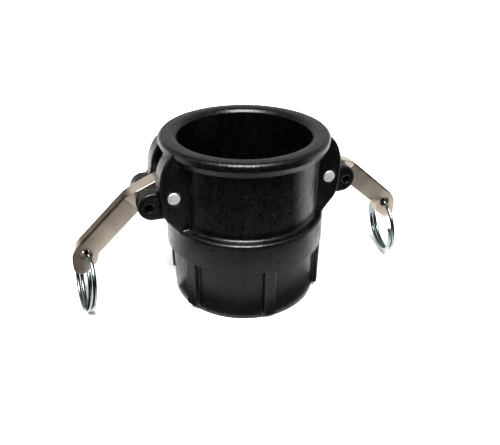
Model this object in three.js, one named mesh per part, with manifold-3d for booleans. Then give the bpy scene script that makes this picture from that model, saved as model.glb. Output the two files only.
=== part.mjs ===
// Camlock coupling, type D, 2 inch: a moulded female coupler with two cam levers and a female pipe thread.
// Millimetres. +Z runs up the bore from the threaded end to the mouth, +X through one pair of ears to the
// right-hand lever, and Y along the hinge pins. The origin is the centre of the threaded end's face.
import * as THREE from 'three';
import { mergeVertices } from 'three/addons/utils/BufferGeometryUtils.js';
import Module from 'manifold-3d';

const wasm = await Module();
wasm.setup();

const DEG = Math.PI / 180;

// ---- driving dimensions ----
const ROUND_STEPS = 60; // facets round the body
const SMALL_STEPS = 24; // facets round pins and holes

const HEIGHT = 84.3;
const RIM = { r: 41, lowR: 39.4, lowZ: 77.3, wideZ: 80.6, edge: 2 };
const BARREL_R = 35.8;
const BAND = { r: 39.8, topZ: 44, lowZ: 28.3, edge: 1.6, footChamfer: 0.4, shoulderFillet: 1.6 };
const HUB = { r: 36.9, chamfer: 0.6 };

const SOCKET_R = 32.2; // takes a 63 mm cam-and-groove adapter
const MOUTH = { flatR: 35.8, lipR: 33.4, lipDrop: 0.6, throatDrop: 2 };
const GROOVE = { r: 33.7, lowZ: 30, topZ: 36.8 };
const FLOW_R = 25.4;
const THREAD = {
  majorR: 29.8,
  minorR: 28.3,
  pitch: 2.309,
  topZ: 25.5,
  mouthR: 30.6,
  flankStart: 0.1, // shares of the pitch, from the root of the thread to its crest
  crestStart: 0.42,
  steps: 30,
};

const RIB = {
  count: 6,
  firstAngle: 30,
  width: 6,
  innerR: 33.9,
  outR: 39.6,
  lowZ: 3.4,
  topZ: 29.3,
};

const PIN = { r: 3, x: 38.9, z: 61.3, halfLength: 15.9, chamfer: 0.4 };
const PIN_HOLE_R = 3.12;
const EAR = { faceY: 15.6, slotY: 5.4, bevel: 0.8, rootX: 30, footZ: 42.5, topZ: 82.6 };
const LOBE = { faceY: 13, innerY: 5.6, x: 48.3, z: 57.2, r: 6.9, holeX: 50.1, holeZ: 56.9, holeR: 2 };
const WINDOW = { halfY: 5.2, lowZ: 49, topZ: 73 }; // lets the cam through the barrel's wall

const GASKET = { inR: 25.4, outR: 33.2, lowZ: 30.3, topZ: 36.5, edge: 0.6, steps: 48 };

const LEVER = {
  halfThick: 4.8,
  armHalfThick: 3.1,
  taperU: 10,
  armU: 17, // from here to its tip the arm is thinner
  bevel: 0.6,
  innerV: 2.8,
  outerV: 13.4,
  eyeR: 6.2,
};
const CAM = { offset: 4, r: 7.4 };
const RING_HOLE = { u: 50.1, v: 7.4, r: 2.3 };
const SIGN = { left: -1, right: 1 };
const ARM_ANGLE = { left: 43.4, right: 40.8 }; // how far each arm points below the horizontal at rest

const RING = {
  r: 15.8,
  wireR: 1,
  halfPitch: 1.08,
  crossing: 50, // half the turn, in degrees, over which the wire changes sides
  lean: 8, // how far each ring hangs outward of the vertical
  twist: { left: 7, right: -11 }, // about the vertical
  sag: 0.36,
  startTurn: { left: 45, right: 70 },
  turns: 585, // degrees of wire
  steps: 48,
};

// ---- colours ----
function paint(color, roughness, metalness) {
  return new THREE.MeshStandardMaterial({ color, roughness, metalness });
}

const polypropylene = paint(0x1b1b1c, 0.55, 0);
const blackRubber = paint(0x101010, 0.8, 0);
const satinSteel = paint(0x8f8274, 0.4, 1);
const pinSteel = paint(0xc8c8c6, 0.35, 1);
const platedWire = paint(0xb9c0c2, 0.2, 1);

// ---- solids from three.js geometry ----
function toSolid(geometry) {
  const bare = geometry.clone();
  bare.deleteAttribute('normal');
  bare.deleteAttribute('uv');
  const merged = mergeVertices(bare, 1e-5);
  const vertProperties = new Float32Array(merged.attributes.position.array);
  const triVerts = new Uint32Array(merged.index.array);
  return new wasm.Manifold(new wasm.Mesh({ numProp: 3, vertProperties, triVerts }));
}

// Slivers left where cuts share a plane are cleaned off as the mesh is made.
function toMesh(name, solid, material) {
  const sliver = 0.004;
  const { vertProperties, triVerts } = solid.simplify(sliver).getMesh();
  const geometry = new THREE.BufferGeometry();
  geometry.setAttribute('position', new THREE.BufferAttribute(vertProperties, 3));
  geometry.setIndex(new THREE.BufferAttribute(triVerts, 1));
  geometry.computeVertexNormals();
  const mesh = new THREE.Mesh(geometry, material);
  mesh.name = name;
  return mesh;
}

// A profile of [radius, z] points turned round Z.
function turned(points, steps = ROUND_STEPS) {
  const profile = points.map(([r, z]) => new THREE.Vector2(r, z));
  return toSolid(new THREE.LatheGeometry(profile, steps).rotateX(Math.PI / 2));
}

// An outline in the X-Z plane, made thick along Y from lowY to highY, bevel included.
function slab(shape, lowY, highY, bevel = 0, curveSegments = 8) {
  const geometry = new THREE.ExtrudeGeometry(shape, {
    depth: highY - lowY - 2 * bevel,
    bevelEnabled: bevel > 0,
    bevelThickness: bevel,
    bevelSize: bevel,
    bevelOffset: -bevel,
    bevelSegments: 1,
    curveSegments,
  });
  return toSolid(geometry.rotateX(Math.PI / 2).translate(0, highY - bevel, 0));
}

// A round bar along Y through (x, z).
function crossBar(r, halfLength, x, z) {
  const geometry = new THREE.CylinderGeometry(r, r, 2 * halfLength, SMALL_STEPS);
  return toSolid(geometry.translate(x, 0, z));
}

function block(lowX, highX, halfY, lowZ, highZ) {
  const geometry = new THREE.BoxGeometry(highX - lowX, 2 * halfY, highZ - lowZ);
  return toSolid(geometry.translate((lowX + highX) / 2, 0, (lowZ + highZ) / 2));
}

const unite = (solids) => solids.reduce((whole, next) => whole.add(next));

// The points of an arc, as [radius, z], from one angle to another.
function arc(centreR, centreZ, r, fromDeg, toDeg, steps) {
  return Array.from({ length: steps + 1 }, (_, i) => {
    const angle = (fromDeg + ((toDeg - fromDeg) * i) / steps) * DEG;
    return [centreR + r * Math.cos(angle), centreZ + r * Math.sin(angle)];
  });
}

// ---- coupler body ----
function bodyOutside() {
  const { shoulderFillet, footChamfer } = BAND;
  return turned([
    [0, 0],
    [HUB.r - HUB.chamfer, 0],
    [HUB.r, HUB.chamfer],
    [HUB.r, BAND.lowZ],
    [BAND.r - footChamfer, BAND.lowZ],
    [BAND.r, BAND.lowZ + footChamfer],
    ...arc(BAND.r - BAND.edge, BAND.topZ - BAND.edge, BAND.edge, 0, 90, 2),
    [BARREL_R + shoulderFillet, BAND.topZ],
    [BARREL_R, BAND.topZ + shoulderFillet],
    [BARREL_R, RIM.lowZ],
    [RIM.lowR, RIM.lowZ],
    [RIM.r, RIM.wideZ],
    ...arc(RIM.r - RIM.edge, HEIGHT - RIM.edge, RIM.edge, 0, 90, 3),
    [0, HEIGHT],
  ]);
}

// Everything that is hollow on the axis above the thread: mouth, socket, gasket groove and flow bore.
function socketHollow() {
  const above = 1;
  const intoThread = 1;
  const leadSlope = MOUTH.lipDrop / (MOUTH.flatR - MOUTH.lipR);
  return turned([
    [0, THREAD.topZ - intoThread],
    [FLOW_R, THREAD.topZ - intoThread],
    [FLOW_R, GROOVE.lowZ],
    [GROOVE.r, GROOVE.lowZ],
    [GROOVE.r, GROOVE.topZ],
    [SOCKET_R, GROOVE.topZ],
    [SOCKET_R, HEIGHT - MOUTH.throatDrop],
    [MOUTH.lipR, HEIGHT - MOUTH.lipDrop],
    [MOUTH.flatR + above / leadSlope, HEIGHT + above],
    [0, HEIGHT + above],
  ]);
}

// A plug with a 55 degree parallel thread on it. Row k of its points climbs a quarter of a pitch at a time
// and one pitch per turn, so a turn's last column joins its first column four rows higher.
function threadPlug() {
  const rowsPerPitch = 4;
  const { flankStart, crestStart } = THREAD;
  const radii = [THREAD.minorR, THREAD.majorR, THREAD.majorR, THREAD.minorR];
  const phases = [flankStart, crestStart, 1 - crestStart, 1 - flankStart];
  const lowZ = -2 * THREAD.pitch;
  const rows = rowsPerPitch * Math.ceil((THREAD.topZ - lowZ) / THREAD.pitch);
  const { steps } = THREAD;
  const positions = [];
  for (let row = 0; row <= rows + rowsPerPitch; row += 1) {
    for (let i = 0; i < steps; i += 1) {
      const turn = i / steps;
      const phase = row % rowsPerPitch;
      const z = lowZ + THREAD.pitch * (Math.floor(row / rowsPerPitch) + phases[phase] + turn);
      const angle = turn * 2 * Math.PI;
      positions.push(radii[phase] * Math.cos(angle), radii[phase] * Math.sin(angle), z);
    }
  }
  const at = (row, i) => (i < steps ? row * steps + i : (row + rowsPerPitch) * steps);
  const index = [];
  for (let row = 0; row < rows; row += 1) {
    for (let i = 0; i < steps; i += 1) {
      index.push(at(row, i), at(row, i + 1), at(row + 1, i + 1));
      index.push(at(row, i), at(row + 1, i + 1), at(row + 1, i));
    }
  }
  const closeEnd = (row, z, outward) => {
    const centre = positions.length / 3;
    positions.push(0, 0, z);
    const edge = Array.from({ length: steps + 1 }, (_, i) => at(row, i));
    const seam = Array.from({ length: rowsPerPitch }, (_, k) => at(row + rowsPerPitch - 1 - k, 0));
    const loop = [...edge, ...seam];
    for (let i = 0; i + 1 < loop.length; i += 1) {
      const [a, b] = outward > 0 ? [loop[i], loop[i + 1]] : [loop[i + 1], loop[i]];
      index.push(centre, a, b);
    }
  };
  closeEnd(0, lowZ, -1);
  closeEnd(rows, lowZ + (rows / rowsPerPitch) * THREAD.pitch + THREAD.pitch, 1);
  const geometry = new THREE.BufferGeometry();
  geometry.setAttribute('position', new THREE.Float32BufferAttribute(positions, 3));
  geometry.setIndex(index);
  return toSolid(geometry);
}

// The thread's hollow: the plug cut off at the thread's top, with a flared mouth.
function threadHollow() {
  const { majorR, minorR, mouthR, topZ, steps } = THREAD;
  const below = 1;
  const flareTip = 0.3;
  const limit = turned([
    [0, -below],
    [majorR + below, -below],
    [majorR + below, topZ],
    [0, topZ],
  ], steps);
  const flare = turned([
    [0, -below],
    [mouthR + below, -below],
    [minorR - flareTip, mouthR - minorR + flareTip],
    [0, mouthR - minorR + flareTip],
  ], steps);
  return threadPlug().intersect(limit).add(flare);
}

function rib(index) {
  const { innerR, outR, lowZ, topZ, width } = RIB;
  const shape = new THREE.Shape();
  shape.moveTo(innerR, lowZ);
  shape.lineTo(outR, lowZ);
  shape.lineTo(outR, topZ);
  shape.lineTo(innerR, topZ);
  shape.closePath();
  const angle = RIB.firstAngle + (360 / RIB.count) * index;
  return slab(shape, -width / 2, width / 2).rotate([0, 0, angle]);
}

// The ear's thick web, which carries the pin and runs from the shoulder up over the rim's side. Its curved
// outer edge is set out from the pin's centre.
function webShape() {
  const shape = new THREE.Shape();
  shape.moveTo(EAR.rootX, EAR.footZ);
  shape.lineTo(PIN.x - 1.8, EAR.footZ);
  shape.lineTo(PIN.x + 3.8, PIN.z - 11.8);
  shape.quadraticCurveTo(PIN.x + 5.6, PIN.z - 9, PIN.x + 6, PIN.z - 3);
  shape.lineTo(PIN.x + 6.3, PIN.z + 4.7);
  shape.quadraticCurveTo(PIN.x + 6.1, PIN.z + 15.7, PIN.x - 0.9, EAR.topZ);
  shape.lineTo(EAR.rootX, EAR.topZ);
  shape.closePath();
  return shape;
}

// The thinner lobe outside the web, with the hole for a safety clip.
function lobeShape() {
  const { x, z, r } = LOBE;
  const shape = new THREE.Shape();
  shape.moveTo(PIN.x + 2, z - r);
  shape.lineTo(x, z - r);
  shape.absarc(x, z, r, -90 * DEG, 100 * DEG, false);
  shape.quadraticCurveTo(PIN.x + 7, PIN.z + 3.2, PIN.x + 6.2, PIN.z + 6);
  shape.lineTo(PIN.x + 2, PIN.z + 6);
  shape.closePath();
  return shape;
}

// Both plates of the right-hand pair of ears.
function earPair() {
  const web = slab(webShape(), EAR.slotY, EAR.faceY, EAR.bevel);
  const lobe = slab(lobeShape(), LOBE.innerY, LOBE.faceY, EAR.bevel);
  const plate = web.add(lobe);
  return plate.add(plate.mirror([0, 1, 0]));
}

// What is cut through the right-hand ears and the barrel wall between them.
function earCuts() {
  const past = EAR.faceY + 2;
  const pinHole = crossBar(PIN_HOLE_R, past, PIN.x, PIN.z);
  const clipHole = crossBar(LOBE.holeR, past, LOBE.holeX, LOBE.holeZ);
  const { halfY, lowZ, topZ } = WINDOW;
  const window = block(SOCKET_R - 6, BARREL_R + 1, halfY, lowZ, topZ);
  return unite([pinHole, clipHole, window]);
}

function couplerBody() {
  const ribs = Array.from({ length: RIB.count }, (_, i) => rib(i));
  const ears = earPair();
  const solid = unite([bodyOutside(), ...ribs, ears, ears.mirror([1, 0, 0])]);
  const cuts = earCuts();
  const hollow = unite([socketHollow(), threadHollow(), cuts, cuts.mirror([1, 0, 0])]);
  return toMesh('coupler_body', solid.subtract(hollow), polypropylene);
}

// ---- gasket ----
function gasket() {
  const { inR, outR, lowZ, topZ, edge, steps } = GASKET;
  const solid = turned([
    [inR, lowZ],
    [outR - edge, lowZ],
    [outR, lowZ + edge],
    [outR, topZ - edge],
    [outR - edge, topZ],
    [inR, topZ],
    [inR, lowZ],
  ], steps);
  return toMesh('gasket', solid, blackRubber);
}

// ---- cam lever ----
// Drawn with the pin at the origin, u along the arm to its tip and v away from the body.
function leverShape() {
  const { innerV, outerV, eyeR } = LEVER;
  const shape = new THREE.Shape();
  shape.moveTo(46.2, innerV);
  shape.lineTo(11.5, innerV);
  shape.quadraticCurveTo(7.8, innerV, CAM.r, -CAM.offset + 1.4);
  shape.absarc(0, -CAM.offset, CAM.r, 10 * DEG, -165 * DEG, true);
  shape.lineTo(-eyeR, -1);
  shape.absarc(0, 0, eyeR, 190 * DEG, 118 * DEG, true);
  shape.quadraticCurveTo(-0.6, 7.6, 2.6, 8.6);
  shape.lineTo(12.4, 12.2);
  shape.quadraticCurveTo(15.5, outerV, 19, outerV);
  shape.lineTo(48, outerV);
  shape.quadraticCurveTo(54, outerV, 57.2, 9.8);
  shape.lineTo(59.9, 6.8);
  shape.quadraticCurveTo(62, 4, 59.4, 1.3);
  shape.quadraticCurveTo(58, 0.4, 55.5, 0.4);
  shape.lineTo(51.4, 0.4);
  shape.quadraticCurveTo(50.2, 0.4, 49.2, 1);
  shape.closePath();
  return shape;
}

// The lever seen along v, from low to high: as thick as the slot at the pin, thinner along the arm.
function leverPlan() {
  const { halfThick, armHalfThick, taperU, armU } = LEVER;
  const past = 80;
  const over = 1;
  const startU = taperU - (over * (armU - taperU)) / (halfThick - armHalfThick);
  const half = halfThick + over;
  const shape = new THREE.Shape();
  shape.moveTo(-past, -half);
  shape.lineTo(startU, -half);
  shape.lineTo(armU, -armHalfThick);
  shape.lineTo(past, -armHalfThick);
  shape.lineTo(past, armHalfThick);
  shape.lineTo(armU, armHalfThick);
  shape.lineTo(startU, half);
  shape.lineTo(-past, half);
  shape.closePath();
  const geometry = new THREE.ExtrudeGeometry(shape, { depth: 2 * past, bevelEnabled: false });
  return toSolid(geometry.translate(0, 0, -past));
}

// Drawn with v up and u to the right, then turned down by the arm's angle and moved to the right-hand pin.
function lever(name, side) {
  const { halfThick, bevel } = LEVER;
  const plate = slab(leverShape(), -halfThick, halfThick, bevel, 6).intersect(leverPlan());
  const eye = crossBar(PIN_HOLE_R, halfThick + 1, 0, 0);
  const ringHole = crossBar(RING_HOLE.r, halfThick + 1, RING_HOLE.u, RING_HOLE.v);
  const drawn = plate.subtract(eye.add(ringHole));
  const placed = drawn.rotate([0, ARM_ANGLE[side], 0]).translate([PIN.x, 0, PIN.z]);
  return toMesh(name, side === 'right' ? placed : placed.mirror([1, 0, 0]), satinSteel);
}

// ---- hinge pin ----
function pin(name, side) {
  const { r, halfLength, chamfer, x, z } = PIN;
  const solid = turned([
    [0, -halfLength],
    [r - chamfer, -halfLength],
    [r, -halfLength + chamfer],
    [r, halfLength - chamfer],
    [r - chamfer, halfLength],
    [0, halfLength],
  ], SMALL_STEPS);
  return toMesh(name, solid.rotate([90, 0, 0]).translate([SIGN[side] * x, 0, z]), pinSteel);
}

// ---- split ring ----
// The wire's centre line: nearly two turns round X, which change sides where the wire passes the lever.
class SplitRingCurve extends THREE.Curve {
  constructor(startTurn) {
    super();
    this.startTurn = startTurn;
  }

  getPoint(t, target = new THREE.Vector3()) {
    const turn = this.startTurn + RING.turns * t;
    const crossing = THREE.MathUtils.clamp((turn - 360) / RING.crossing, -1, 1);
    const along = RING.halfPitch * Math.sin(crossing * 90 * DEG);
    const angle = turn * DEG;
    return target.set(along, -RING.r * Math.sin(angle), RING.r * Math.cos(angle));
  }
}

function ringHolePlace(side) {
  const a = ARM_ANGLE[side] * DEG;
  const out = RING_HOLE.u * Math.cos(a) + RING_HOLE.v * Math.sin(a);
  const up = -RING_HOLE.u * Math.sin(a) + RING_HOLE.v * Math.cos(a);
  return [SIGN[side] * (PIN.x + out), 0, PIN.z + up];
}

function fingerRing(name, side) {
  const section = new THREE.Shape();
  section.absarc(0, 0, RING.wireR, 0, 2 * Math.PI, false);
  const wire = new THREE.ExtrudeGeometry(section, {
    steps: RING.steps,
    extrudePath: new SplitRingCurve(RING.startTurn[side]),
    curveSegments: 4,
    bevelEnabled: false,
  });
  const hung = toSolid(wire).rotate([0, 0, RING.twist[side]]).translate([0, 0, RING.sag - RING.r]);
  const placed = hung.rotate([0, -SIGN[side] * RING.lean, 0]).translate(ringHolePlace(side));
  return toMesh(name, placed, platedWire);
}

const coupling = new THREE.Group();
coupling.add(
  couplerBody(),
  gasket(),
  lever('cam_lever_left', 'left'),
  lever('cam_lever_right', 'right'),
  pin('hinge_pin_left', 'left'),
  pin('hinge_pin_right', 'right'),
  fingerRing('finger_ring_left', 'left'),
  fingerRing('finger_ring_right', 'right'),
);

export default coupling;
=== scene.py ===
"""Camlock coupling, type D, 2 inch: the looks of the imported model.

Shapes are designed in millimetres in the part's own frame, as signed distance fields with moulded fillets,
swept wire and turned profiles. They become meshes in metres.
"""

import math

import bpy
import numpy as np
from mathutils import Matrix, Vector


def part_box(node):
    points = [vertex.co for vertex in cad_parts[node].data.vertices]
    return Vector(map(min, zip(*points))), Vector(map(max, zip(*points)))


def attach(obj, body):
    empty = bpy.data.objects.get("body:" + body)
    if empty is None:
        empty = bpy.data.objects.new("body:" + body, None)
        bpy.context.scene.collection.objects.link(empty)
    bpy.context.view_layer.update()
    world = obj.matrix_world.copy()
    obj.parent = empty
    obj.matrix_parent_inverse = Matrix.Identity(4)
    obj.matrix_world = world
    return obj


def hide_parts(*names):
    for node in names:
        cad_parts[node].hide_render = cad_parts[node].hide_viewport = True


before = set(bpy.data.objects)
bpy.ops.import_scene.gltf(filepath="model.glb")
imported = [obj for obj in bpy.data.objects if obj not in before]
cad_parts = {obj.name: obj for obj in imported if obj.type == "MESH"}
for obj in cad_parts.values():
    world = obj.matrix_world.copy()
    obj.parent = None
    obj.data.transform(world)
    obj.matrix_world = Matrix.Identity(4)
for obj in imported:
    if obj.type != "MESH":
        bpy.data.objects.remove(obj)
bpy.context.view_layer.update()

MM = 0.001

# ---- driving dimensions, in millimetres ----
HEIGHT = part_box("coupler_body")[1].z / MM
BARREL_R = 35.8
BAND_R = 39.8
HUB_R = 36.9
SOCKET_R = 32.2
PIN = {"r": 3.0, "hole_r": 3.12, "x": 38.9, "z": 61.3, "half_length": 15.9}
SLOT_Y = 5.4  # half the gap between a pair of ears
EAR_Y = 15.6  # the thick web's outer face
LOBE_Y = 13.0  # the lobe's outer face
CLIP_HOLE = {"x": 50.1, "z": 56.9, "r": 2.0}
RIB = {"half_width": 3.0, "in_r": 33.9, "out_r": 39.6, "low_z": 3.4, "top_z": 29.3}
THREAD = {"minor_r": 28.3, "major_r": 29.8, "pitch": 2.309, "top_z": 25.5}
LEVER = {"eye_half_y": 4.8, "arm_half_y": 3.1, "taper_u": 10.0, "arm_u": 17.0}
CAM = {"offset": 4.0, "r": 7.4}
RING_HOLE = {"u": 50.1, "v": 7.4, "r": 2.3}
ARM_ANGLE = {"left": 43.4, "right": 40.8}
RING = {"r": 15.8, "wire_r": 1.0, "half_pitch": 1.08, "crossing": 50, "lean": 8.0, "sag": 0.36, "span": 585.0}
RING_TWIST = {"left": 7.0, "right": -11.0}
RING_START = {"left": 45.0, "right": 70.0}

SIDES = {"left": -1, "right": 1}

# ---- light, in metres ----
KEY = {"toward": (-0.165, -0.47, 0.867), "angle": 36, "power": 6}
SKY = {"From Min": 0.45, "From Max": 0.75, "To Min": 0.72, "To Max": 0.22}  # its strength by height
FLAG_Z = 0.001
FLAGS = {  # name: the (radius, height) of its rows, its glow
    "foot_flag": ([(0.038, FLAG_Z), (0.053, FLAG_Z)], 0.12),
    "near_flag": ([(0.053, FLAG_Z), (0.07, FLAG_Z)], 1.1),
    "far_flag": ([(0.088, FLAG_Z), (1.2, FLAG_Z), (1.2, 0.6)], 0.03),
}


# ---- camera, light and floor ----
def add_camera():
    """The view from a little left of the front, 30 degrees above the horizontal."""
    heading, down, roll = 0.341, 0.520, 0.009
    ahead = np.array([math.sin(heading), math.cos(heading), 0.0])
    forward = math.cos(down) * ahead - math.sin(down) * np.array([0, 0, 1])
    level = np.array([math.cos(heading), -math.sin(heading), 0.0])
    upright = np.cross(level, forward)
    right = math.cos(roll) * level + math.sin(roll) * upright
    up = -math.sin(roll) * level + math.cos(roll) * upright
    data = bpy.data.cameras.new("camera")
    data.lens = 39.6
    data.sensor_width = 36.0
    data.clip_start = 0.01
    camera = bpy.data.objects.new("camera", data)
    bpy.context.scene.collection.objects.link(camera)
    position = np.array([-80.4, -235.5, 176.2]) * MM
    matrix = np.eye(4)
    matrix[:3] = np.stack([right, up, -forward, position], axis=1)
    camera.matrix_world = Matrix(matrix)
    bpy.context.scene.camera = camera


def add_sun(name, toward, angle, power):
    """A wide, soft lamp that lights the whole floor alike. The angle is how wide it looks, in degrees."""
    data = bpy.data.lights.new(name, "SUN")
    data.angle = math.radians(angle)
    data.energy = power
    light = bpy.data.objects.new(name, data)
    bpy.context.scene.collection.objects.link(light)
    light.rotation_euler = Vector(toward).to_track_quat("Z", "Y").to_euler()


def add_studio():
    """A white sky, brightest near the horizon, and one soft key lamp."""
    scene = bpy.context.scene
    scene.view_settings.view_transform = "Standard"
    scene.view_settings.look = "High Contrast"
    world = bpy.data.worlds.new("studio")
    world.use_nodes = True
    nodes, link = world.node_tree.nodes, world.node_tree.links.new
    direction = nodes.new("ShaderNodeSeparateXYZ")
    link(nodes.new("ShaderNodeTexCoord").outputs["Generated"], direction.inputs["Vector"])
    fade = nodes.new("ShaderNodeMapRange")
    for socket, value in SKY.items():
        fade.inputs[socket].default_value = value
    link(direction.outputs["Z"], fade.inputs["Value"])
    background = nodes["Background"]
    background.inputs["Color"].default_value = (1.0, 1.0, 1.0, 1.0)
    link(fade.outputs["Result"], background.inputs["Strength"])
    scene.world = world
    add_sun("key", KEY["toward"], KEY["angle"], KEY["power"])


def stage_sheet(name, corners, faces, color, roughness, emission=0.0):
    """A grey sheet of the stage, which isn't part of the model."""
    mesh = bpy.data.meshes.new(name)
    mesh.from_pydata(corners, [], faces)
    sheet = bpy.data.objects.new(name, mesh)
    bpy.context.scene.collection.objects.link(sheet)
    material = bpy.data.materials.new(name)
    material.use_nodes = True
    shader = material.node_tree.nodes["Principled BSDF"]
    shader.inputs["Base Color"].default_value = (color, color, color, 1)
    shader.inputs["Roughness"].default_value = roughness
    shader.inputs["Emission Color"].default_value = (1, 1, 1, 1)
    shader.inputs["Emission Strength"].default_value = emission
    mesh.materials.append(material)
    return sheet


def add_floor():
    size = 3.0
    drop = -0.0002  # clear of the face that stands on it
    corners = [(-size, -size, drop), (size, -size, drop), (size, size, drop), (-size, size, drop)]
    stage_sheet("floor", corners, [(0, 1, 2, 3)], 0.92, 0.85)


def add_flag(name, rows, glow):
    """A sheet in front that only reflections see, as a photographer shades what gloss mirrors."""
    steps = 48
    angles = np.radians(np.linspace(177, 338, steps + 1))
    corners = [(r * math.cos(a), r * math.sin(a), z) for r, z in rows for a in angles]
    across = steps + 1
    starts = [row * across + i for row in range(len(rows) - 1) for i in range(steps)]
    faces = [(k, k + 1, k + across + 1, k + across) for k in starts]
    flag = stage_sheet(name, corners, faces, 0.0, 1.0, glow)
    flag.visible_camera = False
    flag.visible_diffuse = False
    flag.visible_shadow = False


# ---- outlines ----
def arc(centre, radius, start, end, steps=10):
    """Points of an arc, its angles in degrees."""
    angles = np.radians(np.linspace(start, end, steps + 1))
    return [(centre[0] + radius * math.cos(a), centre[1] + radius * math.sin(a)) for a in angles]


def curve(start, control, end, steps=6):
    """Points of a quadratic curve."""
    s, c, e = (np.array(p, float) for p in (start, control, end))
    return [tuple((1 - t) ** 2 * s + 2 * t * (1 - t) * c + t * t * e) for t in np.linspace(0, 1, steps + 1)]


def rounded(corners, steps=6):
    """A closed outline through (u, v, radius) corners, each corner an arc of its radius."""
    points = []
    for i, (u, v, radius) in enumerate(corners):
        corner = np.array((u, v), float)
        if radius <= 0:
            points.append((u, v))
            continue
        before = np.array(corners[i - 1][:2], float) - corner
        after = np.array(corners[(i + 1) % len(corners)][:2], float) - corner
        before /= np.linalg.norm(before)
        after /= np.linalg.norm(after)
        half = 0.5 * math.acos(np.clip(before @ after, -1, 1))
        middle = (before + after) / np.linalg.norm(before + after)
        centre = corner + middle * radius / math.sin(half)
        first = corner + before * radius / math.tan(half) - centre
        last = corner + after * radius / math.tan(half) - centre
        start = math.degrees(math.atan2(first[1], first[0]))
        sweep = (math.degrees(math.atan2(last[1], last[0])) - start + 180) % 360 - 180
        points += arc(centre, radius, start, start + sweep, steps)
    return points


# ---- signed distance fields: negative inside, in millimetres ----
def outline_field(points, step=0.15, margin=8.0):
    """The distance to a closed outline, as a function of (u, v) that reads a fine table."""
    points = np.array(points, float)
    low = points.min(0) - margin
    high = points.max(0) + margin
    us, vs = (np.arange(low[k], high[k] + step, step) for k in (0, 1))
    u, v = np.meshgrid(us, vs, indexing="ij")
    nearest = np.full(u.shape, np.inf)
    inside = np.zeros(u.shape, bool)
    for a, b in zip(points, np.roll(points, -1, axis=0)):
        edge = b - a
        length2 = edge @ edge
        if length2 < 1e-12:
            continue
        t = np.clip(((u - a[0]) * edge[0] + (v - a[1]) * edge[1]) / length2, 0, 1)
        nearest = np.minimum(nearest, (u - a[0] - t * edge[0]) ** 2 + (v - a[1] - t * edge[1]) ** 2)
        if edge[1]:
            crossed = (a[1] > v) != (b[1] > v)
            inside ^= crossed & (u < a[0] + (v - a[1]) * edge[0] / edge[1])
    table = np.where(inside, -1, 1) * np.sqrt(nearest)

    def field(at_u, at_v):
        i = np.clip((at_u - low[0]) / step, 0, len(us) - 1.001)
        j = np.clip((at_v - low[1]) / step, 0, len(vs) - 1.001)
        i0, j0 = i.astype(int), j.astype(int)
        i, j = i - i0, j - j0
        near = table[i0, j0] * (1 - j) + table[i0, j0 + 1] * j
        far = table[i0 + 1, j0] * (1 - j) + table[i0 + 1, j0 + 1] * j
        return near * (1 - i) + far * i

    return field


def thicken(flat, across, edge):
    """A flat distance made thick by a second one, with its edges rounded to the radius edge."""
    outside = np.hypot(np.maximum(flat + edge, 0), np.maximum(across + edge, 0))
    return np.minimum(np.maximum(flat, across) + edge, 0) + outside - edge


def join(a, b, fillet):
    """Two solids as one, with a fillet where they meet."""
    corner = np.hypot(np.maximum(fillet - a, 0), np.maximum(fillet - b, 0))
    return np.maximum(fillet, np.minimum(a, b)) - corner


def cut(a, b, edge):
    """Solid a without b, the edge of the cut rounded."""
    return -join(-a, b, edge)


# ---- from fields to meshes ----
def lines(low, high, coarse, fine_spans):
    """Grid lines from low to high, closer together inside the (from, to, spacing) spans."""
    at, places = low, [low]
    while at < high:
        spacing = min([coarse] + [s for a, b, s in fine_spans if a - coarse < at < b])
        at += spacing
        places.append(at)
    return np.array(places)


def slopes(field, p, reach=0.05):
    """The field's gradient at points p."""
    steps = reach * np.eye(3)
    return np.stack([(field(*(p + s).T) - field(*(p - s).T)) / (2 * reach) for s in steps], axis=1)


def surface(field, grid):
    """Vertices, quads and normals of field = 0 by dual contouring.

    There is one vertex in each grid cell that the surface crosses. Each grid line that it crosses gives a
    quad through the four cells round it.
    """
    values = field(*np.meshgrid(*grid, indexing="ij"))
    inside = values < 0
    cells = np.array(values.shape) - 1
    crossings, quads = [], []
    for axis in range(3):
        here = [slice(None)] * 3
        ahead = [slice(None)] * 3
        here[axis], ahead[axis] = slice(None, -1), slice(1, None)
        first = np.stack(np.nonzero(inside[tuple(here)] != inside[tuple(ahead)]), axis=1)
        second = first.copy()
        second[:, axis] += 1
        f0, f1 = values[tuple(first.T)], values[tuple(second.T)]
        points = np.stack([grid[k][first[:, k]] for k in range(3)], axis=1)
        points[:, axis] += (grid[axis][second[:, axis]] - points[:, axis]) * f0 / (f0 - f1)
        b, c = (axis + 1) % 3, (axis + 2) % 3
        round_edge = []
        for step_b, step_c in ((0, 0), (-1, 0), (-1, -1), (0, -1)):
            cell = first.copy()
            cell[:, b] += step_b
            cell[:, c] += step_c
            round_edge.append(np.ravel_multi_index(tuple(cell.T), cells))
        quad = np.stack(round_edge, axis=1)
        leaving = inside[tuple(first.T)]
        quad[~leaving] = quad[~leaving][:, ::-1]
        quads.append(quad)
        crossings.append(points)
    quads = np.concatenate(quads)
    used, quads = np.unique(quads, return_inverse=True)
    quads = quads.reshape(-1, 4)
    points = np.concatenate(crossings)
    normals = unit(slopes(field, points))
    vertices = solve_corners(points, normals, quads, len(used))
    corner = np.stack(np.unravel_index(used, cells), axis=1)
    low = np.stack([grid[k][corner[:, k]] for k in range(3)], axis=1)
    high = np.stack([grid[k][corner[:, k] + 1] for k in range(3)], axis=1)
    vertices = np.clip(vertices, low, high)
    for _ in range(2):
        slope = slopes(field, vertices)
        move = field(*vertices.T)[:, None] * slope / np.maximum((slope**2).sum(1), 0.05)[:, None]
        vertices = vertices - np.clip(move, -0.3, 0.3)
    return vertices, quads, unit(slopes(field, vertices))


def unit(vectors):
    return vectors / np.maximum(np.linalg.norm(vectors, axis=1), 1e-9)[:, None]


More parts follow.
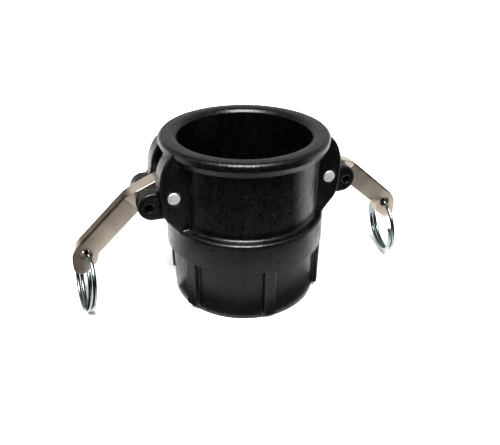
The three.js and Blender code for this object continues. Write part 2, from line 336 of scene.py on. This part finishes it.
def solve_corners(points, normals, quads, count):
    """Each cell's vertex: where the planes at its edge crossings meet, held near the crossings' middle."""
    cell = quads.ravel()
    point = np.repeat(points, 4, axis=0)
    normal = np.repeat(normals, 4, axis=0)
    number = np.bincount(cell, minlength=count)
    middle = np.stack([np.bincount(cell, point[:, k], count) for k in range(3)], axis=1) / number[:, None]
    offset = ((point - middle[cell]) * normal).sum(1)
    hold = 0.08
    matrix = np.zeros((count, 3, 3))
    right = np.zeros((count, 3))
    for i in range(3):
        right[:, i] = np.bincount(cell, normal[:, i] * offset, count)
        for j in range(3):
            matrix[:, i, j] = np.bincount(cell, normal[:, i] * normal[:, j], count)
        matrix[:, i, i] += hold
    return middle + np.linalg.solve(matrix, right[:, :, None])[:, :, 0]


def add_mesh(name, vertices, faces, material, normals=None, local=None):
    """An object from millimetre vertices. local keeps each vertex's place in the piece's own frame."""
    mesh = bpy.data.meshes.new(name)
    mesh.from_pydata((np.asarray(vertices) * MM).tolist(), [], [tuple(f) for f in np.asarray(faces, object)])
    mesh.validate()
    mesh.shade_smooth()
    if local is not None:
        attribute = mesh.attributes.new("local", "FLOAT_VECTOR", "POINT")
        attribute.data.foreach_set("vector", (np.asarray(local) * MM).astype(np.float32).ravel())
    if normals is not None:
        mesh.normals_split_custom_set_from_vertices(normals.tolist())
    mesh.materials.append(material)
    piece = bpy.data.objects.new(name, mesh)
    bpy.context.scene.collection.objects.link(piece)
    return piece


def place(piece, node, body):
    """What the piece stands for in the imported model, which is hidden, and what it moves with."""
    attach(piece, body)
    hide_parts(node)


# ---- coupler body ----
def outer_profile():
    """The moulding's outside as (radius, z, corner radius), turned round Z."""
    return rounded(
        [
            (-5, 0, 0),
            (HUB_R, 0, 0.6),
            (HUB_R, 28.3, 0.5),
            (BAND_R, 28.3, 0.7),
            (BAND_R, 44, 1.7),
            (BARREL_R, 44, 1.8),
            (BARREL_R, 77.3, 0.5),
            (39.4, 77.3, 0.35),
            (41, 80.6, 1.5),
            (41, HEIGHT, 2.0),
            (-5, HEIGHT, 0),
        ]
    )


def hollow_profile():
    """What is hollow on the axis: thread core, flow bore, gasket groove, socket and mouth."""
    return rounded(
        [
            (-5, -3, 0),
            (33.6, -3, 0),
            (THREAD["minor_r"], 2.3, 0.2),
            (THREAD["minor_r"], THREAD["top_z"], 0.3),
            (25.4, THREAD["top_z"], 0.3),
            (25.4, 30, 0.4),
            (33.7, 30, 0.3),
            (33.7, 36.8, 0.3),
            (SOCKET_R, 36.8, 0.4),
            (SOCKET_R, HEIGHT - 2, 0.8),
            (33.4, HEIGHT - 0.6, 0.5),
            (39.8, HEIGHT + 1, 0),
            (-5, HEIGHT + 1, 0),
        ]
    )


def web_outline():
    """The ear's thick web, which runs from the shoulder up over the rim's side."""
    x, z = PIN["x"], PIN["z"]
    return [
        (30, 42.5),
        (x - 1.8, 42.5),
        (x + 3.8, z - 11.8),
        *curve((x + 3.8, z - 11.8), (x + 5.6, z - 9), (x + 6, z - 3)),
        *curve((x + 6.3, z + 4.7), (x + 6.1, z + 15.7), (x - 0.9, HEIGHT - 1.7), 10),
        (30, HEIGHT - 1.7),
    ]


def lobe_outline():
    """The thinner lobe outside the web, which carries the safety-clip hole."""
    x, z = PIN["x"], PIN["z"]
    centre, radius = (48.3, 57.2), 6.9
    return [
        (x + 2, centre[1] - radius),
        *arc(centre, radius, -90, 100, 20),
        *curve(arc(centre, radius, 100, 100, 1)[0], (x + 7, z + 3.2), (x + 6.2, z + 6)),
        (x + 2, z + 6),
    ]


def rib_outline():
    in_r, out_r, low_z, top_z = (RIB[key] for key in ("in_r", "out_r", "low_z", "top_z"))
    return [(in_r, low_z), (out_r, low_z), (out_r, top_z), (in_r, top_z)]


def body_field():
    """The moulding as a solid, mirrored across X = 0 and Y = 0 apart from its thread."""
    outer = outline_field(outer_profile())
    hollow = outline_field(hollow_profile())
    web = outline_field(web_outline())
    lobe = outline_field(lobe_outline())
    rib = outline_field(rib_outline())

    def thread(r, x, y, z):
        """The thread's groove, cut into the core: a 55 degree form with rounded crests."""
        phase = np.mod(z / THREAD["pitch"] - np.arctan2(y, x) / (2 * math.pi), 1)
        depth = np.clip((0.4 - np.abs(phase - 0.5)) / 0.32, 0, 1)
        depth = depth * depth * (3 - 2 * depth)
        wall = THREAD["minor_r"] + (THREAD["major_r"] - THREAD["minor_r"]) * depth
        return np.maximum(0.6 * (r - wall), z - THREAD["top_z"])

    def field(x, y, z):
        r = np.hypot(x, y)
        ax, ay = np.abs(x), np.abs(y)
        turn = np.mod(np.arctan2(y, x) - math.radians(30), math.radians(60))
        turn = np.minimum(turn, math.radians(60) - turn)
        out, aside = r * np.cos(turn), r * np.sin(turn)
        solid = join(outer(r, z), thicken(rib(out, z), aside - RIB["half_width"], 0.35), 0.35)
        middle = (SLOT_Y + EAR_Y) / 2
        plate = thicken(web(ax, z), np.abs(ay - middle) - (EAR_Y - middle), 1.0)
        middle = (SLOT_Y + LOBE_Y) / 2
        plate = join(plate, thicken(lobe(ax, z), np.abs(ay - middle) - (LOBE_Y - middle), 1.1), 0.8)
        solid = join(solid, plate, 1.0)
        solid = cut(solid, np.minimum(hollow(r, z), thread(r, x, y, z)), 0.25)
        solid = cut(solid, np.hypot(ax - PIN["x"], z - PIN["z"]) - PIN["hole_r"], 0.3)
        solid = cut(solid, np.hypot(ax - CLIP_HOLE["x"], z - CLIP_HOLE["z"]) - CLIP_HOLE["r"], 0.2)
        window = thicken(np.abs(ax - 31.5) - 5.3, np.abs(z - 61) - 12, 0.3)
        return cut(solid, thicken(window, ay - SLOT_Y, 0.3), 0.3)

    return field


def add_body(material):
    xs = lines(0.2, 57.3, 1.0, [(34, 56, 0.65)])
    ys = lines(0.2, 42.6, 1.0, [(3, 17, 0.75)])
    fine = [(-1, 1.2, 0.5), (27, 30, 0.5), (42, 46, 0.35), (50, 66, 0.7), (76, 86, 0.5)]
    zs = lines(-1.1, HEIGHT + 1, 1.0, fine)
    grid = [np.concatenate([-side[::-1], side]) for side in (xs, ys)] + [zs]
    vertices, quads, normals = surface(body_field(), grid)
    piece = add_mesh("moulded_body", vertices, quads, material, normals)
    place(piece, "coupler_body", "coupler")


# ---- turned pieces ----
def turned(profile, steps):
    """Vertices and faces of a (radius, z) profile turned round Z. A point on the axis is one vertex."""
    rows, vertices, faces = [], [], []
    angles = np.linspace(0, 2 * math.pi, steps, endpoint=False)
    for r, z in profile:
        start = len(vertices)
        if r == 0:
            vertices.append((0, 0, z))
            rows.append([start] * steps)
        else:
            vertices += [(r * math.cos(a), r * math.sin(a), z) for a in angles]
            rows.append(list(range(start, start + steps)))
    closed = profile[0][0] != 0
    pairs = list(zip(rows, rows[1:] + rows[:1])) if closed else list(zip(rows, rows[1:]))
    for low, high in pairs:
        for i in range(steps):
            j = (i + 1) % steps
            face = [low[i], low[j], high[j], high[i]]
            faces.append(list(dict.fromkeys(face)))
    return np.array(vertices), faces


def add_gasket(material):
    """A flat seal with rounded edges and a shallow groove in its upper face."""
    profile = rounded(
        [
            (25.4, 30.3, 0.5),
            (33.2, 30.3, 0.7),
            (33.2, 36.5, 0.7),
            (31.0, 36.5, 0.3),
            (30.4, 35.9, 0.3),
            (29.8, 36.5, 0.3),
            (25.4, 36.5, 1.0),
        ]
    )
    vertices, faces = turned(profile, 160)
    place(add_mesh("seal_ring", vertices, faces, material), "gasket", "coupler")


def add_pin(side, material):
    """A pin along Y whose ends have a bevelled rim round a shallow dished face."""
    r, half = PIN["r"], PIN["half_length"]
    dish = 0.1
    end = [(0, half - dish), (1.95, half - dish), (2.1, half - 0.02), (2.2, half), (2.7, half)]
    end += [(r - 0.06, half - 0.2), (r, half - 0.4)]
    profile = [(a, -z) for a, z in end] + end[::-1]
    vertices, faces = turned(profile, 64)
    vertices = np.stack([vertices[:, 0], -vertices[:, 2], vertices[:, 1]], axis=1)
    local = vertices.copy()
    vertices += np.array([SIDES[side] * PIN["x"], 0, PIN["z"]])
    piece = add_mesh(f"pin_{side}", vertices, faces, material, local=local)
    place(piece, f"hinge_pin_{side}", "coupler")


# ---- cam levers ----
def lever_outline():
    """The lever from the side: pin at the origin, u along the arm to its tip, v away from the body."""
    cam_centre = (0, -CAM["offset"])
    cam = arc(cam_centre, CAM["r"], 10, -165, 28)
    eye = arc((0, 0), 6.2, 190, 118, 8)
    return [
        (46.2, 2.8),
        *curve((11.5, 2.8), (7.8, 2.8), (7.4, -2.6)),
        *cam,
        *eye,
        *curve(eye[-1], (-0.6, 7.6), (2.6, 8.6)),
        *curve((12.4, 12.2), (15.5, 13.4), (19, 13.4)),
        *curve((48, 13.4), (54, 13.4), (57.2, 9.8)),
        *curve((59.9, 6.8), (62, 4), (59.4, 1.3)),
        *curve((59.4, 1.3), (58, 0.4), (55.5, 0.4)),
        *curve((51.4, 0.4), (50.2, 0.4), (49.2, 1)),
    ]


def lever_field():
    """The lever as a solid: as thick as the ears' slot at the pin, thinner along the arm."""
    side_view = outline_field(lever_outline(), step=0.1)

    def field(u, y, v):
        along = np.clip((u - LEVER["taper_u"]) / (LEVER["arm_u"] - LEVER["taper_u"]), 0, 1)
        half_y = LEVER["eye_half_y"] + (LEVER["arm_half_y"] - LEVER["eye_half_y"]) * along
        solid = thicken(side_view(u, v), np.abs(y) - half_y, 0.4)
        solid = cut(solid, np.hypot(u, v) - PIN["hole_r"], 0.3)
        return cut(solid, np.hypot(u - RING_HOLE["u"], v - RING_HOLE["v"]) - RING_HOLE["r"], 0.5)

    return field


def add_levers(material):
    """One surface in the lever's own frame, placed at each pin."""
    ys = lines(0.15, 6, 0.6, [(2.2, 5.4, 0.3)])
    us = lines(-9, 63, 0.6, [(46, 56, 0.4)])
    vs = lines(-13, 14, 0.6, [(3, 14, 0.4)])
    grid = [us, np.concatenate([-ys[::-1], ys]), vs]
    local, quads, normals = surface(lever_field(), grid)
    for side, sign in SIDES.items():
        spin = about_y(ARM_ANGLE[side])
        mirror = np.array([sign, 1, 1])
        vertices = (local @ spin.T + np.array([PIN["x"], 0, PIN["z"]])) * mirror
        faces = quads if sign > 0 else quads[:, ::-1]
        piece = add_mesh(f"lever_arm_{side}", vertices, faces, material, (normals @ spin.T) * mirror, local)
        place(piece, f"cam_lever_{side}", f"lever_{side}")


# ---- split rings ----
def ring_centre_line(start, steps):
    """The wire's middle: nearly two turns round X, which change sides where the wire passes the lever."""
    turn = np.linspace(start, start + RING["span"], steps)
    crossing = np.clip((turn - 360) / RING["crossing"], -1, 1)
    angle = np.radians(turn)
    across = RING["half_pitch"] * np.sin(crossing * math.pi / 2)
    return np.stack([across, -RING["r"] * np.sin(angle), RING["r"] * np.cos(angle)], axis=1)


def wire(path, radius, around):
    """A round wire along a path, its cut ends chamfered and closed."""
    ahead = unit(np.gradient(path, axis=0))
    vertices, faces = [], []
    side = np.array([1.0, 0, 0])
    last = len(path) - 1
    chamfer = 0.12
    # (point on the path, shift along it, share of the radius)
    rings = [(0, 0.0, 0.55), (0, chamfer, 0.86)]
    rings += [(k, 0.0, 1.0) for k in range(1, last)]
    rings += [(last, -chamfer, 0.86), (last, 0.0, 0.55)]
    for k, shift, share in rings:
        tangent = ahead[k]
        first = unit((side - tangent * (side @ tangent))[None])[0]
        second = np.cross(tangent, first)
        centre = path[k] + tangent * shift
        for a in np.linspace(0, 2 * math.pi, around, endpoint=False):
            vertices.append(centre + share * radius * (math.cos(a) * first + math.sin(a) * second))
    for row in range(len(rings) - 1):
        for i in range(around):
            j = (i + 1) % around
            low, high = row * around, (row + 1) * around
            faces.append([low + i, low + j, high + j, high + i])
    faces.append(list(range(around))[::-1])
    top = (len(rings) - 1) * around
    faces.append([top + i for i in range(around)])
    return np.array(vertices), faces


def about_y(degrees):
    turn = math.radians(degrees)
    return np.array([[math.cos(turn), 0, math.sin(turn)], [0, 1, 0], [-math.sin(turn), 0, math.cos(turn)]])


def about_z(degrees):
    turn = math.radians(degrees)
    return np.array([[math.cos(turn), -math.sin(turn), 0], [math.sin(turn), math.cos(turn), 0], [0, 0, 1]])


def add_rings(material):
    """Each ring hangs from its lever's hole, turned and leaning a little outward."""
    for side, sign in SIDES.items():
        local, faces = wire(ring_centre_line(RING_START[side], 260), RING["wire_r"], 20)
        hole = about_y(ARM_ANGLE[side]) @ np.array([RING_HOLE["u"], 0, RING_HOLE["v"]])
        hole = (hole + np.array([PIN["x"], 0, PIN["z"]])) * np.array([sign, 1, 1])
        hung = local @ about_z(RING_TWIST[side]).T + np.array([0, 0, RING["sag"] - RING["r"]])
        vertices = hung @ about_y(-sign * RING["lean"]).T + hole
        piece = add_mesh(f"split_ring_{side}", vertices, faces, material, local=local)
        place(piece, f"finger_ring_{side}", f"ring_{side}")


# ---- materials ----
class Shader:
    """A node material with one Principled shader, and short ways to add what drives it."""

    def __init__(self, name, **values):
        self.material = bpy.data.materials.new(name)
        self.material.use_nodes = True
        self.tree = self.material.node_tree
        self.out = self.tree.nodes["Principled BSDF"]
        for socket, value in values.items():
            self.out.inputs[socket.replace("_", " ")].default_value = value

    def node(self, kind, settings=None, **links):
        """A new node. settings holds its properties, and values for its inputs by name or number."""
        made = self.tree.nodes.new(kind)
        for key, value in (settings or {}).items():
            if isinstance(key, str) and hasattr(made, key):
                setattr(made, key, value)
            else:
                made.inputs[key].default_value = value
        for socket, source in links.items():
            self.tree.links.new(source, made.inputs[socket.replace("_", " ")])
        return made

    def place(self, attribute=None, scale=(1, 1, 1)):
        """Where a point is: in the part's frame, or in the piece's own frame by its attribute."""
        if attribute:
            source = self.node("ShaderNodeAttribute", {"attribute_name": attribute}).outputs["Vector"]
        else:
            source = self.node("ShaderNodeTexCoord").outputs["Object"]
        return self.node("ShaderNodeMapping", {"Scale": scale}, Vector=source).outputs["Vector"]

    def noise(self, where, scale, detail=3.0, roughness=0.5):
        settings = {"Scale": scale, "Detail": detail, "Roughness": roughness}
        return self.node("ShaderNodeTexNoise", settings, Vector=where).outputs["Fac"]

    def spread(self, source, low, high, to_low, to_high):
        """The source's values from low to high, spread over to_low to to_high and held beyond them."""
        settings = {"From Min": low, "From Max": high, "To Min": to_low, "To Max": to_high}
        return self.node("ShaderNodeMapRange", settings, Value=source).outputs["Result"]

    def ramp(self, source, stops):
        made = self.node("ShaderNodeValToRGB", Fac=source)
        elements = made.color_ramp.elements
        while len(elements) < len(stops):
            elements.new(0.5)
        for element, (position, color) in zip(elements, stops):
            element.position = position
            element.color = (*color, 1)
        return made.outputs["Color"]

    def mix(self, factor, a, b, how="MIX"):
        made = self.node("ShaderNodeMix", {"data_type": "RGBA", "blend_type": how})
        for socket, source in ((0, factor), (6, a), (7, b)):
            if isinstance(source, bpy.types.NodeSocket):
                self.tree.links.new(source, made.inputs[socket])
            else:
                made.inputs[socket].default_value = source if socket == 0 else (*source, 1)
        return made.outputs[2]

    def bump(self, height, distance, strength, normal=None):
        made = self.node("ShaderNodeBump", {"Distance": distance, "Strength": strength}, Height=height)
        if normal is not None:
            self.tree.links.new(normal, made.inputs["Normal"])
        return made.outputs["Normal"]

    def drive(self, socket, source):
        self.tree.links.new(source, self.out.inputs[socket])


def plastic():
    """Black glass-filled polypropylene: satin, with fine fibre grain, flow marks and lightly rubbed edges."""
    made = Shader("black_polypropylene", IOR=1.5)
    where = made.place()
    mottle = made.noise(where, 260, 4, 0.65)
    speck = made.noise(where, 1100, 3, 0.7)
    grain = made.noise(where, 2200, 2, 0.7)
    flow = made.noise(made.place(scale=(1, 1, 0.06)), 420, 3, 0.6)
    worn = made.spread(made.node("ShaderNodeNewGeometry").outputs["Pointiness"], 0.51, 0.58, 0, 0.45)
    base = made.ramp(mottle, [(0.3, (0.0005, 0.0005, 0.0006)), (0.7, (0.0028, 0.0028, 0.003))])
    base = made.mix(made.spread(speck, 0.56, 0.68, 0, 0.9), base, (0.02, 0.02, 0.0205))
    made.drive("Base Color", made.mix(worn, base, (0.02, 0.02, 0.0205)))
    rough = made.spread(made.mix(0.5, made.mix(0.5, mottle, flow), speck), 0.38, 0.62, 0.24, 0.46)
    made.drive("Roughness", rough)
    normal = made.bump(mottle, 0.0003, 0.5)
    normal = made.bump(flow, 0.00008, 0.3, normal)
    normal = made.bump(speck, 0.00012, 0.6, normal)
    made.drive("Normal", made.bump(grain, 0.00004, 0.4, normal))
    return made.material


def rubber():
    """Matt nitrile with a faint bloom."""
    made = Shader("black_nitrile")
    where = made.place()
    bloom = made.noise(where, 220, 4, 0.6)
    made.drive("Base Color", made.ramp(bloom, [(0.35, (0.012, 0.012, 0.012)), (0.7, (0.028, 0.028, 0.027))]))
    made.drive("Roughness", made.spread(bloom, 0.3, 0.7, 0.62, 0.8))
    made.drive("Normal", made.bump(made.noise(where, 1800, 3), 0.00005, 0.4))
    return made.material


def lever_steel():
    """Satin stainless, warm and patchy, with painted shade: its outer edge face painted dark brown, its edges
    and its ring hole painted dark.
    """
    made = Shader("satin_stainless", Metallic=1.0)
    where = made.place("local")
    patches = made.noise(where, 90, 4, 0.6)
    brushed = made.noise(made.place("local", (0.05, 1, 1)), 2600, 3, 0.6)
    pits = made.noise(where, 1100, 2, 0.5)
    tones = [(0.3, (0.44, 0.38, 0.325)), (0.5, (0.53, 0.465, 0.405)), (0.72, (0.6, 0.545, 0.47))]
    base = made.ramp(patches, tones)
    base = made.mix(made.spread(pits, 0.66, 0.74, 0, 0.5), base, (0.2, 0.15, 0.11))
    split = made.node("ShaderNodeSeparateXYZ", Vector=where)
    # painted shade: the outer edge face and its rounding painted dark brown
    outer = made.spread(split.outputs["Z"], 0.0121, 0.0131, 0, 1)
    along = made.spread(split.outputs["X"], 0.046, 0.051, 1, 0)
    outer_face_shade = made.node("ShaderNodeMath", {"operation": "MULTIPLY"})
    made.tree.links.new(outer, outer_face_shade.inputs[0])
    made.tree.links.new(along, outer_face_shade.inputs[1])
    brown = made.ramp(patches, [(0.35, (0.07, 0.05, 0.032)), (0.65, (0.14, 0.105, 0.07))])
    base = made.mix(outer_face_shade.outputs["Value"], base, brown)
    # painted shade: the convex edges painted dark, against their highlight
    edges = made.spread(made.node("ShaderNodeNewGeometry").outputs["Pointiness"], 0.53, 0.6, 0, 0.75)
    base = made.mix(edges, base, (0.09, 0.065, 0.045))
    hole = Vector((RING_HOLE["u"], 0, RING_HOLE["v"])) * MM
    flat = made.node("ShaderNodeVectorMath", {"operation": "MULTIPLY", 1: (1, 0, 1)}, Vector=where)
    flat = flat.outputs["Vector"]
    reach = made.node("ShaderNodeVectorMath", {"operation": "DISTANCE", 1: hole}, Vector=flat)
    # painted shade: the ring hole's wall and rim painted dark
    hole_shade = made.spread(reach.outputs["Value"], 0.0021, 0.0034, 0.85, 0)
    made.drive("Base Color", made.mix(hole_shade, base, (0.06, 0.045, 0.03)))
    made.drive("Roughness", made.spread(made.mix(0.5, patches, brushed), 0.35, 0.65, 0.34, 0.5))
    normal = made.bump(patches, 0.0003, 0.12)
    made.drive("Normal", made.bump(brushed, 0.00002, 0.35, normal))
    return made.material


def pin_steel():
    """Bright stainless whose sheared end faces are dull."""
    made = Shader("pin_stainless", Metallic=1.0)
    where = made.place("local")
    mottle = made.noise(where, 1300, 4, 0.7)
    made.drive("Base Color", made.ramp(mottle, [(0.35, (0.6, 0.6, 0.6)), (0.65, (0.82, 0.82, 0.82))]))
    made.drive("Roughness", made.spread(mottle, 0.3, 0.7, 0.5, 0.68))
    made.drive("Normal", made.bump(mottle, 0.00004, 0.4))
    return made.material


def plated_wire():
    """Bright zinc-plated wire, a little hazy."""
    made = Shader("plated_wire", Metallic=1.0)
    where = made.place("local")
    haze = made.noise(where, 260, 3, 0.6)
    drawn = made.noise(where, 1500, 3, 0.6)
    made.drive("Base Color", made.ramp(haze, [(0.3, (0.17, 0.2, 0.195)), (0.7, (0.3, 0.325, 0.335))]))
    made.drive("Roughness", made.spread(made.mix(0.5, haze, drawn), 0.3, 0.7, 0.12, 0.28))
    made.drive("Normal", made.bump(drawn, 0.00002, 0.25))
    return made.material


add_camera()
add_studio()
add_floor()
for name, (rows, glow) in FLAGS.items():
    add_flag(name, rows, glow)
add_body(plastic())
add_gasket(rubber())
steel = lever_steel()
add_levers(steel)
pins = pin_steel()
for side in SIDES:
    add_pin(side, pins)
add_rings(plated_wire())
